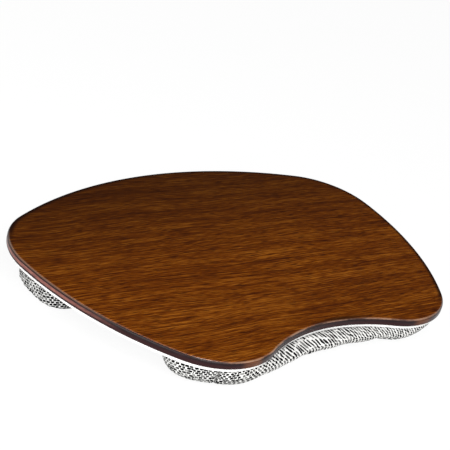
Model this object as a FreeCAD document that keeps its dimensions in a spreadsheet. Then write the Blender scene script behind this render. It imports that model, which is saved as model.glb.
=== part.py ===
"""Lap desk: a laminated tray with a waisted front edge, carried on two stuffed bolsters.

Frame: +Z up, +X to the user's right, -Y toward the user. The origin is on the
surface that the bolsters rest on, under the middle of the tray. Millimetres.

The tray's outline is eight tangent arcs: waist, two lobes, two sides, two rear
corners and the back. The panel, the deck cloth and both bolsters follow the same
outline at their own insets, so every piece moves with the tray's sizes.
"""

import FreeCAD, Part
import os
from math import atan2, pi, sqrt

import Sketcher

V = FreeCAD.Vector
doc = FreeCAD.newDocument("lap_desk")
START, END, CENTRE = range(1, 4)  # the sketcher's numbers for a point of an edge
Y_AXIS, ORIGIN = range(-2, 0)  # and for its own axis and origin
TOUCH = 1e-4

# ---------------------------------------------------------------- driving sizes
SIZES = [
    ("tray_width", 570.0, "tray, left to right"),
    ("tray_depth", 394.0, "tray, lobes to the middle of the back"),
    ("lobe_offset", 141.0, "centre of a front lobe from the middle"),
    ("lobe_radius", 89.0, "front lobe"),
    ("waist_depth", 33.5, "front recess, from the lobes to its middle"),
    ("side_radius", 397.0, "long side arc"),
    ("corner_radius", 97.0, "rear corner arc"),
    ("back_radius", 543.0, "back arc"),
    ("core_thickness", 8.4, "board without its veneers"),
    ("veneer_thickness", 0.8, "face and backing veneer"),
    ("top_round", 3.5, "round along the board's top edge"),
    ("under_round", 2.0, "round along the board's lower edge"),
    ("panel_thickness", 4.0, "white panel under the board"),
    ("panel_inset", 2.6, "panel's edge in from the board's edge"),
    ("cloth_thickness", 0.8, "deck cloth and cover cloth"),
    ("deck_inset", 5.0, "deck cloth's edge in from the board's edge"),
    ("bolster_height", 35.2, "bolsters, from the lap to the deck cloth"),
    ("front_inset", 5.0, "front bolster in from the board's edge"),
    ("front_waist", 21.3, "front bolster's own recess, from the board's lobes"),
    ("front_run", 79.0, "front bolster, from the board's lobes to its inner wall"),
    ("front_corner", 26.0, "front bolster's inner corners, seen from above"),
    ("front_round", 22.0, "round along the front bolster's lower edge"),
    ("front_seam", 176.0, "front bolster's upright seams from the middle"),
    ("rear_inset", 21.0, "rear bolster in from the board's edge"),
    ("channel_width", 128.0, "open channel between the bolsters"),
    ("rear_corner", 33.0, "rear bolster's inner corners, seen from above"),
    ("rear_round", 9.0, "round along the rear bolster's lower edge"),
    ("rear_seam", 190.0, "rear bolster's upright seams from the middle"),
    ("screw_shank", 3.6, "panel screw, diameter in the board"),
    ("screw_head", 7.0, "panel screw, diameter of the head"),
    ("screw_sink", 1.8, "panel screw, height of the cone under the head"),
    ("screw_bite", 6.5, "panel screw, depth into the board"),
    ("screw_gap", 0.05, "room around a screw, on the radius"),
    ("screw_across", 130.0, "panel screws, spacing left to right"),
    ("screw_along", 190.0, "panel screws, spacing front to back"),
    ("screw_front", 75.0, "front row of screws, in front of the middle"),
]
SCREW_COLUMN_COUNT = 4
SCREW_ROW_COUNT = 2

sheet = doc.addObject("Spreadsheet::Sheet", "Sheet")
for row, (alias, value, note) in enumerate(SIZES, start=1):
    sheet.set(f"A{row}", note)
    sheet.set(f"B{row}", str(value))
    sheet.setAlias(f"B{row}", alias)
doc.recompute()

PANEL_Z = "(Sheet.bolster_height + Sheet.cloth_thickness)"
BOARD_Z = f"({PANEL_Z} + Sheet.panel_thickness)"
BOARD = "(Sheet.core_thickness + 2 * Sheet.veneer_thickness)"
FRONT_WALL_Y = "(Sheet.front_run - Sheet.tray_depth / 2)"
REAR_WALL_Y = f"({FRONT_WALL_Y} + Sheet.channel_width)"


def size(expression):
    """The number that an expression on the sheet gives."""
    value = sheet.evalExpression(expression)
    return float(getattr(value, "Value", value))


# ---------------------------------------------------------------- the outline
def circles(inset, waist):
    """Centres and radii of the right half: waist, lobe, side, corner and back."""
    half_width, half_depth = size("Sheet.tray_width") / 2, size("Sheet.tray_depth") / 2
    lobe_r, side_r = size("Sheet.lobe_radius"), size("Sheet.side_radius")
    corner_r, back_r = size("Sheet.corner_radius"), size("Sheet.back_radius")
    lobe = V(size("Sheet.lobe_offset"), lobe_r - half_depth, 0)
    dip = size(waist) + inset
    near = lobe_r - inset
    waist_r = (lobe.x**2 + (near - dip + inset) ** 2 - near**2) / (2 * (dip - inset))
    waist_at = V(0, dip - half_depth - waist_r, 0)
    back = V(0, half_depth - back_r, 0)
    corner_x = half_width - corner_r
    corner = V(corner_x, back.y + sqrt((back_r - corner_r) ** 2 - corner_x**2), 0)
    side = crossing(lobe, side_r - lobe_r, corner, side_r - corner_r)
    radii = (waist_r, near, side_r - inset, corner_r - inset, back_r - inset)
    return list(zip((waist_at, lobe, side, corner, back), radii))


def crossing(first, first_r, second, second_r):
    """The left one of the two points at these distances from two centres."""
    apart = second - first
    along = (first_r**2 - second_r**2 + apart.Length**2) / (2 * apart.Length)
    across = sqrt(first_r**2 - along**2)
    unit = apart / apart.Length
    return first + unit * along + V(-unit.y, unit.x, 0) * across


def touch(first, second):
    """Where a circle touches a larger one from inside."""
    (inner, radius), (outer, _) = sorted((first, second), key=lambda circle: circle[1])
    return inner + (inner - outer) * (radius / (inner - outer).Length)


def mirrored(point):
    return V(-point.x, point.y, 0)


def arc(centre, radius, start, end):
    """The anticlockwise arc from one point to another."""
    from_angle = atan2(start.y - centre.y, start.x - centre.x)
    to_angle = atan2(end.y - centre.y, end.x - centre.x)
    if to_angle < from_angle:
        to_angle += 2 * pi
    return Part.ArcOfCircle(Part.Circle(centre, V(0, 0, 1), radius), from_angle, to_angle)


def outline(made, name, inset="0", waist="Sheet.waist_depth"):
    """A sketch of the outline, drawn in from the board's edge by inset.

    The arcs are tangent where they meet, the lobes and corners are mirror images,
    and a point on the waist arc holds its depth.
    """
    sketch = made.newObject("Sketcher::SketchObject", name)
    sketch.AttachmentSupport = (origin_part(made, "XY_Plane"), [""])
    sketch.MapMode = "FlatFace"
    (waist_at, waist_r), lobe, side, corner, back = circles(size(inset), waist)
    chain = [lobe, side, corner, back]
    joints = [waist_at + (lobe[0] - waist_at) * (waist_r / (waist_r + lobe[1]))]
    joints += [touch(first, second) for first, second in zip(chain, chain[1:])]
    pieces = [arc(waist_at, waist_r, joints[0], mirrored(joints[0]))]
    for (centre, radius), start, end in zip(chain[:3], joints, joints[1:]):
        pieces.append(arc(centre, radius, start, end))
    pieces.append(arc(back[0], back[1], joints[3], mirrored(joints[3])))
    for index in (2, 1, 0):
        centre, radius = chain[index]
        pieces.append(arc(mirrored(centre), radius, mirrored(joints[index + 1]), mirrored(joints[index])))
    sketch.addGeometry(pieces, False)
    lowest = sketch.addGeometry(Part.Point(V(0, waist_at.y + waist_r, 0)), True)
    WAIST, LOBE, SIDE, CORNER, BACK, CORNER_L, SIDE_L, LOBE_L = range(8)
    rules = [Sketcher.Constraint("Tangent", WAIST, START, LOBE, START)]
    for first in range(LOBE, LOBE_L):
        rules.append(Sketcher.Constraint("Tangent", first, END, first + 1, START))
    rules += [
        Sketcher.Constraint("Tangent", LOBE_L, END, WAIST, END),
        Sketcher.Constraint("Equal", LOBE, LOBE_L),
        Sketcher.Constraint("Equal", SIDE, SIDE_L),
        Sketcher.Constraint("Equal", CORNER, CORNER_L),
        Sketcher.Constraint("Symmetric", LOBE, CENTRE, LOBE_L, CENTRE, Y_AXIS),
        Sketcher.Constraint("PointOnObject", BACK, CENTRE, Y_AXIS),
        Sketcher.Constraint("PointOnObject", lowest, START, Y_AXIS),
        Sketcher.Constraint("PointOnObject", lowest, START, WAIST),
    ]
    sketch.addConstraint(rules)
    corner_x = "Sheet.tray_width / 2 - Sheet.corner_radius"
    sizes = [
        ("Radius", (LOBE,), f"Sheet.lobe_radius - {inset}"),
        ("Radius", (SIDE,), f"Sheet.side_radius - {inset}"),
        ("Radius", (CORNER,), f"Sheet.corner_radius - {inset}"),
        ("Radius", (BACK,), f"Sheet.back_radius - {inset}"),
        ("DistanceX", (ORIGIN, START, LOBE, CENTRE), "Sheet.lobe_offset"),
        ("DistanceY", (LOBE, CENTRE, ORIGIN, START), "Sheet.tray_depth / 2 - Sheet.lobe_radius"),
        ("DistanceX", (ORIGIN, START, CORNER, CENTRE), corner_x),
        ("DistanceX", (CORNER_L, CENTRE, ORIGIN, START), corner_x),
        ("DistanceY", (BACK, CENTRE, ORIGIN, START), "Sheet.back_radius - Sheet.tray_depth / 2"),
        ("DistanceY", (lowest, START, ORIGIN, START), f"Sheet.tray_depth / 2 - ({waist}) - {inset}"),
    ]
    for kind, ends, expression in sizes:
        bind(sketch, kind, ends, expression)
    return sketch


def bind(sketch, kind, ends, expression):
    """A dimension of a sketch, tied to the sheet."""
    index = sketch.addConstraint(Sketcher.Constraint(kind, *ends, size(expression)))
    sketch.setExpression(f"Constraints[{index}]", expression)


# ---------------------------------------------------------------- solids
def body(name, z="0"):
    """An empty body whose own floor is z above the lap."""
    made = doc.addObject("PartDesign::Body", name)
    made.Label = name
    made.setExpression("Placement.Base.z", z)
    return made


def origin_part(made, role):
    return [f for f in made.Origin.OriginFeatures if f.Role == role][0]


def plate(name, z, thickness, inset="0", waist="Sheet.waist_depth"):
    """A flat piece cut to the outline."""
    made = body(name, z)
    sketch = outline(made, name + "_outline", inset, waist)
    pad = made.newObject("PartDesign::Pad", name + "_pad")
    pad.Profile = sketch
    pad.setExpression("Length", thickness)
    made.Tip = pad
    return made


def rounded(made, name, radius, chosen):
    """Rounds the edges that chosen accepts, to a radius from the sheet."""
    doc.recompute()
    tip = made.Tip
    edges = [f"Edge{n}" for n, edge in enumerate(tip.Shape.Edges, start=1) if chosen(edge)]
    fillet = made.newObject("PartDesign::Fillet", name)
    fillet.Base = (tip, edges)
    fillet.setExpression("Radius", radius)
    made.Tip = fillet


def level(z):
    """Accepts the edges that lie flat at this height."""
    return lambda edge: all(abs(point.z - z) < TOUCH for point in edge.discretize(3))


def upright(y):
    """Accepts the upright edges in the plane at this y."""
    return lambda edge: (
        all(abs(point.y - y) < TOUCH for point in edge.discretize(3))
        and abs(edge.tangentAt(edge.FirstParameter).z) > 1 - TOUCH
    )


def slab(name, corner, lengths):
    """A box between planes that the sheet places."""
    made = doc.addObject("Part::Box", name)
    for axis, place in zip("xyz", corner):
        made.setExpression(f"Placement.Base.{axis}", place)
    for side, length in zip(("Length", "Width", "Height"), lengths):
        made.setExpression(side, length)
    return made


def joined(kind, name, base, tool):
    """A Part::Cut or Part::Common of two objects."""
    made = doc.addObject("Part::" + kind, name)
    made.Label = name
    made.Base = base
    made.Tool = tool
    return made


# ---------------------------------------------------------------- tray board and panel
def screw_group(name, gap):
    """The grid of panel screws, or with a gap the room that is cut for them.

    Each is turned about an upright line: a cone under the head, a shank and a point.
    """
    made = body(name, PANEL_Z)
    made.AllowCompound = True
    half_span = f"-Sheet.screw_across * {(SCREW_COLUMN_COUNT - 1) / 2}"
    made.setExpression("Placement.Base.x", half_span)
    made.setExpression("Placement.Base.y", "-Sheet.screw_front")
    head_r, shank_r = f"Sheet.screw_head / 2 + {gap}", f"Sheet.screw_shank / 2 + {gap}"
    shank_end = f"Sheet.panel_thickness + Sheet.screw_bite - Sheet.screw_shank / 2"
    corners = [
        ("0", "0"),
        (head_r, "0"),
        (shank_r, "Sheet.screw_sink"),
        (shank_r, shank_end),
        ("0", f"{shank_end} + {shank_r}"),
    ]
    sketch = made.newObject("Sketcher::SketchObject", name + "_profile")
    sketch.AttachmentSupport = (origin_part(made, "XZ_Plane"), [""])
    sketch.MapMode = "FlatFace"
    points = [V(size(x), size(y), 0) for x, y in corners]
    ends = points[1:] + points[:1]
    sketch.addGeometry([Part.LineSegment(a, b) for a, b in zip(points, ends)], False)
    last = len(corners) - 1
    for line in range(last + 1):
        following = (line + 1) % len(corners)
        sketch.addConstraint(Sketcher.Constraint("Coincident", line, END, following, START))
    sketch.addConstraint(Sketcher.Constraint("Coincident", 0, START, ORIGIN, START))
    sketch.addConstraint(Sketcher.Constraint("Horizontal", 0))
    sketch.addConstraint(Sketcher.Constraint("Vertical", 2))
    sketch.addConstraint(Sketcher.Constraint("Vertical", last))
    bind(sketch, "DistanceX", (ORIGIN, START, 1, START), head_r)
    bind(sketch, "DistanceX", (ORIGIN, START, 2, START), shank_r)
    bind(sketch, "DistanceY", (ORIGIN, START, 2, START), "Sheet.screw_sink")
    bind(sketch, "DistanceY", (ORIGIN, START, 3, START), shank_end)
    bind(sketch, "DistanceY", (ORIGIN, START, last, START), f"{shank_end} + {shank_r}")
    turned = made.newObject("PartDesign::Revolution", name + "_turned")
    turned.Profile = sketch
    turned.ReferenceAxis = (sketch, ["V_Axis"])
    turned.Angle = 360
    grid = made.newObject("PartDesign::LinearPattern", name + "_grid")
    grid.Originals = [turned]
    grid.Direction = (origin_part(made, "X_Axis"), [""])
    grid.Occurrences = SCREW_COLUMN_COUNT
    grid.setExpression("Length", f"Sheet.screw_across * {SCREW_COLUMN_COUNT - 1}")
    grid.Direction2 = (origin_part(made, "Y_Axis"), [""])
    grid.Occurrences2 = SCREW_ROW_COUNT
    grid.setExpression("Length2", f"Sheet.screw_along * {SCREW_ROW_COUNT - 1}")
    made.Tip = grid
    return made


def board_plies(screw_room):
    """The rounded board, sliced into its face veneer, core and backing veneer."""
    blank = plate("board_blank", BOARD_Z, BOARD)
    rounded(blank, "board_top_round", "Sheet.top_round", level(size(BOARD)))
    rounded(blank, "board_under_round", "Sheet.under_round", level(0))
    core_z = f"({BOARD_Z} + Sheet.veneer_thickness)"
    face_z = f"({core_z} + Sheet.core_thickness)"
    slices = [
        ("backing_veneer", BOARD_Z, "Sheet.veneer_thickness", True),
        ("core_board", core_z, "Sheet.core_thickness", True),
        ("face_veneer", face_z, "Sheet.veneer_thickness", False),
    ]
    made = []
    for name, z, thickness, has_screws in slices:
        corner = ("-Sheet.tray_width", "-Sheet.tray_depth", z)
        box = slab(name + "_slice", corner, ("2 * Sheet.tray_width", "2 * Sheet.tray_depth", thickness))
        if has_screws:
            whole = joined("Common", name + "_whole", blank, box)
            made.append(joined("Cut", name, whole, screw_room))
        else:
            made.append(joined("Common", name, blank, box))
    return made


def base_panel(screw_room):
    """The white panel that the cushion is made up on, screwed to the board from below."""
    blank = plate("panel_blank", PANEL_Z, "Sheet.panel_thickness", "Sheet.panel_inset")
    return joined("Cut", "base_panel", blank, screw_room)


# ---------------------------------------------------------------- bolsters
class Bolster:
    """One stuffed bolster: a fill in a cover sewn from five cloth panels.

    It keeps the outline at its own inset and stops at a straight inner wall
    across the tray. in_front says which side of that wall it lies on.
    """

    def __init__(self, name, in_front, inset, waist, wall_y, corner, edge_round, seam, middle_y):
        self.name = name
        self.in_front = in_front
        self.inset = inset
        self.waist = waist
        self.wall_y = wall_y
        self.corner = corner
        self.edge_round = edge_round
        self.seam = seam
        self.middle_y = middle_y

    def solid(self, name, within, z, thickness):
        """The bolster's plan, drawn in by within and padded, with its inner corners rounded."""
        made = plate(name, z, thickness, f"({self.inset} + {within})", self.waist)
        sketch = made.newObject("Sketcher::SketchObject", name + "_beyond")
        sketch.AttachmentSupport = (origin_part(made, "XY_Plane"), [""])
        sketch.MapMode = "FlatFace"
        wall = f"({self.wall_y} - {within})" if self.in_front else f"({self.wall_y} + {within})"
        self.draw_beyond(sketch, wall)
        pocket = made.newObject("PartDesign::Pocket", name + "_cut_off")
        pocket.Profile = sketch
        pocket.Type = "ThroughAll"
        pocket.Midplane = True
        made.Tip = pocket
        rounded(made, name + "_corners", f"{self.corner} - {within}", upright(size(wall)))
        return made

    def draw_beyond(self, sketch, wall):
        """A rectangle from the inner wall to well past the tray on the far side."""
        far = "Sheet.tray_depth" if self.in_front else "-Sheet.tray_depth"
        low, high = (wall, far) if self.in_front else (far, wall)
        side, front, back = (size(at) for at in ("Sheet.tray_width", low, high))
        points = [V(-side, front, 0), V(side, front, 0), V(side, back, 0), V(-side, back, 0)]
        lines = [Part.LineSegment(a, b) for a, b in zip(points, points[1:] + points[:1])]
        sketch.addGeometry(lines, False)
        for line in range(4):
            rule = Sketcher.Constraint("Coincident", line, END, (line + 1) % 4, START)
            sketch.addConstraint(rule)
        for line, kind in enumerate(("Horizontal", "Vertical", "Horizontal", "Vertical")):
            sketch.addConstraint(Sketcher.Constraint(kind, line))
        bind(sketch, "DistanceX", (0, START, ORIGIN, START), "Sheet.tray_width")
        bind(sketch, "DistanceX", (ORIGIN, START, 1, START), "Sheet.tray_width")
        for line, y in ((0, low), (2, high)):
            if size(y) < 0:
                bind(sketch, "DistanceY", (line, START, ORIGIN, START), f"-({y})")
            else:
                bind(sketch, "DistanceY", (ORIGIN, START, line, START), y)

    def soft(self, name, within, z):
        """The bolster with its lower edge rounded, up to the deck cloth."""
        made = self.solid(name, within, z, f"Sheet.bolster_height - {z}")
        rounded(made, name + "_lower_edge", f"{self.edge_round} - {within}", level(0))
        return made

    def pieces(self):
        """The fill, the base cloth and the four wall cloths."""
        outer = self.soft(self.name + "_outer", "0", "0")
        fill = self.soft(self.name + "_fill", "Sheet.cloth_thickness", "Sheet.cloth_thickness")
        base = self.solid(self.name + "_base", self.edge_round, "0", "Sheet.cloth_thickness")
        cover = joined("Cut", self.name + "_cover", outer, fill)
        walls = joined("Cut", self.name + "_walls", cover, base)
        made = [fill, base]
        across = f"2 * {self.seam}"
        beyond_seam = f"Sheet.tray_width / 2 - {self.seam}"
        below = f"({self.middle_y} + Sheet.tray_depth / 2)"
        above = f"(Sheet.tray_depth / 2 - {self.middle_y})"
        edge_x, edge_y = "-Sheet.tray_width / 2", "-Sheet.tray_depth / 2"
        outer_wall, inner_wall = self.name + self.outer_name, self.name + "_inner_wall"
        names = (outer_wall, inner_wall) if self.in_front else (inner_wall, outer_wall)
        parts = [
            (names[0], ("-" + self.seam, edge_y), (across, below)),
            (names[1], ("-" + self.seam, self.middle_y), (across, above)),
            (self.name + "_left_end", (edge_x, edge_y), (beyond_seam, "Sheet.tray_depth")),
            (self.name + "_right_end", (self.seam, edge_y), (beyond_seam, "Sheet.tray_depth")),
        ]
        for name, corner, lengths in parts:
            box = slab(name + "_part", (*corner, "0"), (*lengths, "Sheet.bolster_height"))
            made.append(joined("Common", name, walls, box))
        return made

    @property
    def outer_name(self):
        return "_face" if self.in_front else "_back"


# ---------------------------------------------------------------- the whole part
screws = screw_group("panel_screws", "0")
screw_room = screw_group("screw_room", "Sheet.screw_gap")
deck_cloth = plate("deck_cloth", "Sheet.bolster_height", "Sheet.cloth_thickness", "Sheet.deck_inset")
front = Bolster(
    "front_bolster",
    in_front=True,
    inset="Sheet.front_inset",
    waist="Sheet.front_waist - Sheet.front_inset",
    wall_y=FRONT_WALL_Y,
    corner="Sheet.front_corner",
    edge_round="Sheet.front_round",
    seam="Sheet.front_seam",
    middle_y="((Sheet.front_run + Sheet.front_waist) / 2 - Sheet.tray_depth / 2)",
)
rear = Bolster(
    "rear_bolster",
    in_front=False,
    inset="Sheet.rear_inset",
    waist="Sheet.waist_depth",
    wall_y=REAR_WALL_Y,
    corner="Sheet.rear_corner",
    edge_round="Sheet.rear_round",
    seam="Sheet.rear_seam",
    middle_y=f"(({REAR_WALL_Y} + Sheet.tray_depth / 2 - Sheet.rear_inset) / 2)",
)
subparts = board_plies(screw_room) + [base_panel(screw_room), screws, deck_cloth]
subparts += front.pieces() + rear.pieces()
doc.recompute()

# ---------------------------------------------------------------- checks and export
broken = [o.Name for o in doc.Objects if {"Invalid", "Error"} & set(o.State)]
broken += [o.Label for o in subparts if o.Shape.isNull() or not o.Shape.isValid()]
if broken:
    raise RuntimeError(f"these objects failed: {broken}")

os.makedirs("parts", exist_ok=True)
for subpart in subparts:
    subpart.Shape.exportStep(f"parts/{subpart.Label}.step")
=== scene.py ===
"""Looks of the lap desk: a walnut tray on a white panel, over two stuffed bolsters.

Metres, in the frame of the solids: +Z up, -Y toward the user, z = 0 on the lap.
"""
from math import pi, radians

import bpy
import numpy as np
from mathutils import Matrix, Vector


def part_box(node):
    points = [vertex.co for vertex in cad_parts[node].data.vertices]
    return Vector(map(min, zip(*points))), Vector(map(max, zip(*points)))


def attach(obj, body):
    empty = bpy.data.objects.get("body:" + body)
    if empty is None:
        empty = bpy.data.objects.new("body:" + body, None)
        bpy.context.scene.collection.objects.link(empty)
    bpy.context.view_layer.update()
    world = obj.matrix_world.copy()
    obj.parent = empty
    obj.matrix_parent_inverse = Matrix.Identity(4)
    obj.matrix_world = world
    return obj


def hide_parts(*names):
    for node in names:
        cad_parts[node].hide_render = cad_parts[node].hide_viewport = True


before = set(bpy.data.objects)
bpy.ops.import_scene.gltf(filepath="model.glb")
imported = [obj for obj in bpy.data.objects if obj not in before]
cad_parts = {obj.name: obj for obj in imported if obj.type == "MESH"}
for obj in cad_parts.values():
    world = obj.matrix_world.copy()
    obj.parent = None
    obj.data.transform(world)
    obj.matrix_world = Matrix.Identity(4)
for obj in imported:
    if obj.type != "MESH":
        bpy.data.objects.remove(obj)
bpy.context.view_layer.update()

MM = 0.001
TINY = 1e-9
FAR = 1.0  # the distance carried by points that are nowhere near

# ------------------------------------------------------------------ sizes
# The tray outline's arcs, as (x, y, radius) of the circles on its right half.
LOBE = (141 * MM, -108 * MM, 89 * MM)
SIDE = (-111.85 * MM, 67.87 * MM, 397 * MM)
REAR_CORNER = (188 * MM, 58.44 * MM, 97 * MM)
BACK = (0.0, -346 * MM, 543 * MM)
WAIST = (0.0, -387.98 * MM, -224.48 * MM)  # a negative radius makes a hollow arc

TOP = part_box("face_veneer")[1].z
CORE_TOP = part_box("core_board")[1].z
CORE_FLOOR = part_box("core_board")[0].z
PANEL_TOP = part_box("base_panel")[1].z
PANEL_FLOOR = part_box("base_panel")[0].z
DECK_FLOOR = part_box("deck_cloth")[0].z
TOP_ROUND = 3.5 * MM
UNDER_ROUND = 2.0 * MM
PANEL_INSET = 2.6 * MM
PANEL_ROUND = 0.6 * MM
DECK_INSET = 5.0 * MM
HEM = 7.0 * MM  # width of the deck cloth's turned edge
HEM_THICK = 0.5 * MM

ROUND_STEP = 2.4 * MM  # spacing of points along the tray's edge
CLOTH_STEP = 4.2 * MM  # spacing of points on the cloth
BOARD_ROUND_POINTS = 9  # points on each quarter round of the board
PANEL_ROUND_POINTS = 5  # and of the panel


# ------------------------------------------------------------------ outlines
def followed(places, known, values):
    """(x, y) values, known at some places along a line, read at others."""
    return np.stack([np.interp(places, known, values[:, axis]) for axis in (0, 1)], axis=1)


class Outline:
    """A closed outline of circles that touch one another, drawn anticlockwise.

    On each circle a point is its centre plus its radius times the outward normal,
    so one normal is shared where two circles touch and the outline drawn in by
    an inset only changes the radii. Two circles of one radius are joined by a
    straight run. Places on the outline are lengths along it from its start.
    """

    FINE = 400  # points on each arc
    SEARCHED = 16000  # places tried to find the one nearest to a point

    def __init__(self, circles):
        self.circles = np.array(circles)
        following = np.roll(self.circles, -1, axis=0)
        step = self.circles[:, :2] - following[:, :2]
        growth = (following[:, 2] - self.circles[:, 2])[:, None]
        straight = np.abs(growth) < TINY
        across = np.stack([-step[:, 1], step[:, 0]], axis=1) / np.linalg.norm(step, axis=1)[:, None]
        normal = np.where(straight, across, step / np.where(straight, 1, growth))
        angle = np.unwrap(np.arctan2(normal[:, 1], normal[:, 0]))
        begin = np.concatenate([[angle[-1] - 2 * pi], angle[:-1]])
        turn = begin[:, None] + (angle - begin)[:, None] * np.linspace(0, 1, self.FINE)
        self.normals = np.stack([np.cos(turn), np.sin(turn)], axis=-1).reshape(-1, 2)
        radii = np.repeat(self.circles[:, 2], self.FINE)[:, None]
        self.edge = np.repeat(self.circles[:, :2], self.FINE, axis=0) + radii * self.normals
        self.closed = np.concatenate([self.edge, self.edge[:1]])
        self.closed_normals = np.concatenate([self.normals, self.normals[:1]])
        self.lengths = np.append(0, np.cumsum(np.linalg.norm(np.diff(self.closed, axis=0), axis=1)))
        self.length = self.lengths[-1]

    def at(self, places):
        """Points and outward normals at lengths along the outline."""
        normal = followed(places, self.lengths, self.closed_normals)
        return followed(places, self.lengths, self.closed), normal / np.linalg.norm(normal, axis=1)[:, None]

    def place_of(self, x, y):
        """The length along the outline at its point nearest to (x, y)."""
        places = np.linspace(0, self.length, self.SEARCHED, endpoint=False)
        points, _ = self.at(places)
        return places[np.argmin(np.hypot(*(points - (x, y)).T))]

    def matched(self, places, other):
        """The points of another outline, of as many circles, that match places on this one."""
        whole = np.arange(len(self.lengths))
        return followed(np.interp(places, self.lengths, whole), whole, other.closed)


def mirrored(circle):
    x, y, radius = circle
    return (-x, y, radius)


def drawn_in(inset, *circles):
    return [(x, y, radius - inset) for x, y, radius in circles]


def inner_corner(outer, y, radius):
    """The circle of this radius that touches an outer arc from inside, its centre at y."""
    reach = (outer[2] - radius) ** 2 - (y - outer[1]) ** 2
    return (outer[0] + reach**0.5, y, radius)


TRAY_RIGHT = [LOBE, SIDE, REAR_CORNER]
TRAY = Outline([WAIST, *TRAY_RIGHT, BACK, *[mirrored(c) for c in reversed(TRAY_RIGHT)]])


# ------------------------------------------------------------------ meshes
SHARP = radians(40)  # edges that turn more than this are shaded sharp


def piece_of(name, points, faces):
    """A smooth-shaded mesh object from arrays of points and faces."""
    mesh = bpy.data.meshes.new(name)
    mesh.from_pydata(points.reshape(-1, 3).tolist(), [], faces)
    mesh.polygons.foreach_set("use_smooth", [True] * len(mesh.polygons))
    mesh.set_sharp_from_angle(angle=SHARP)
    made = bpy.data.objects.new(name, mesh)
    bpy.context.collection.objects.link(made)
    return made


def lay_out(mesh, corners):
    """Gives each corner of each face its place (u, v) on the cloth."""
    mesh.uv_layers.new(name="cloth").uv.foreach_set("vector", corners.astype(np.float32).ravel())


def carry(mesh, name, values):
    """Gives each point of the mesh a number that a finish or a later step reads."""
    mesh.attributes.new(name, "FLOAT", "POINT").data.foreach_set("value", values.astype(np.float32))


def carried(mesh, name):
    flat = np.empty(len(mesh.vertices), dtype=np.float32)
    mesh.attributes[name].data.foreach_get("value", flat)
    return flat.astype(float)


def coordinates(mesh):
    flat = np.empty(len(mesh.vertices) * 3, dtype=np.float32)
    mesh.vertices.foreach_get("co", flat)
    return flat.reshape(-1, 3).astype(float)


def ring_faces(rows, columns):
    """Quads between rings of points, each ring closed on itself."""
    row, column = np.meshgrid(np.arange(rows - 1), np.arange(columns), indexing="ij")
    here = row * columns + column
    beside = row * columns + (column + 1) % columns
    return np.stack([here, beside, beside + columns, here + columns], axis=-1).reshape(-1, 4)


MIDDLE = (0.0, 60 * MM)  # where the rings that close a plate shrink to
CLOSING_RINGS = np.array([0.97, 0.9, 0.7, 0.4])  # their sizes beside the plate's own


def shrunk(ring, sizes):
    """Copies of a level ring of points, drawn toward the middle."""
    return ring + ((*MIDDLE, 0.0) - ring) * (1 - sizes[:, None, None]) * (1, 1, 0)


def plate(name, profile):
    """A flat piece of the tray's outline with a shaped edge.

    The profile is (inset, height) pairs from the underside to the top, carried
    round the outline; each face is closed by rings drawn toward the middle.
    Each point carries how far it lies inside the tray's edge.
    """
    count = int(TRAY.length / ROUND_STEP)
    edge, normal = TRAY.at(np.linspace(0, TRAY.length, count, endpoint=False))
    inset, height = np.array(profile).T
    rim = edge - inset[:, None, None] * normal
    rim = np.concatenate([rim, np.broadcast_to(height[:, None, None], (*rim.shape[:2], 1))], axis=2)
    rings = np.concatenate([shrunk(rim[0], CLOSING_RINGS[::-1]), rim, shrunk(rim[-1], CLOSING_RINGS)])
    rows = len(rings)
    poles = np.array([(*MIDDLE, height[0]), (*MIDDLE, height[-1])])
    low_pole, high_pole, last = rows * count, rows * count + 1, (rows - 1) * count
    here = np.arange(count)
    beside = (here + 1) % count
    faces = ring_faces(rows, count).tolist()
    faces += np.stack([beside, here, np.full(count, low_pole)], axis=1).tolist()
    faces += np.stack([last + here, last + beside, np.full(count, high_pole)], axis=1).tolist()
    made = piece_of(name, np.concatenate([rings.reshape(-1, 3), poles]), faces)
    inside = ((edge - rings[..., :2]) * normal).sum(axis=2)
    carry(made.data, "inside", np.append(inside, [FAR, FAR]))
    return made


def rounded_edge(inset, floor, floor_round, top, top_round, count):
    """(inset, height) pairs of an edge with a quarter round below and above, of count points each."""
    turn = np.linspace(0, pi / 2, count)
    less_sine, less_cosine = 1 - np.sin(turn), 1 - np.cos(turn)
    under = np.stack([inset + floor_round * less_sine, floor + floor_round * less_cosine], axis=1)
    over = np.stack([inset + top_round * less_cosine, top - top_round * less_sine], axis=1)
    return np.concatenate([under, over])


def board_edge(low, high):
    """(inset, height) pairs of the rounded board between two heights."""
    curve = rounded_edge(0.0, PANEL_TOP, UNDER_ROUND, TOP, TOP_ROUND, BOARD_ROUND_POINTS)
    heights = np.unique(np.concatenate([curve[:, 1].clip(low, high), [low, high]]).round(7))
    return np.stack([np.interp(heights, curve[:, 1], curve[:, 0]), heights], axis=1)


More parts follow.
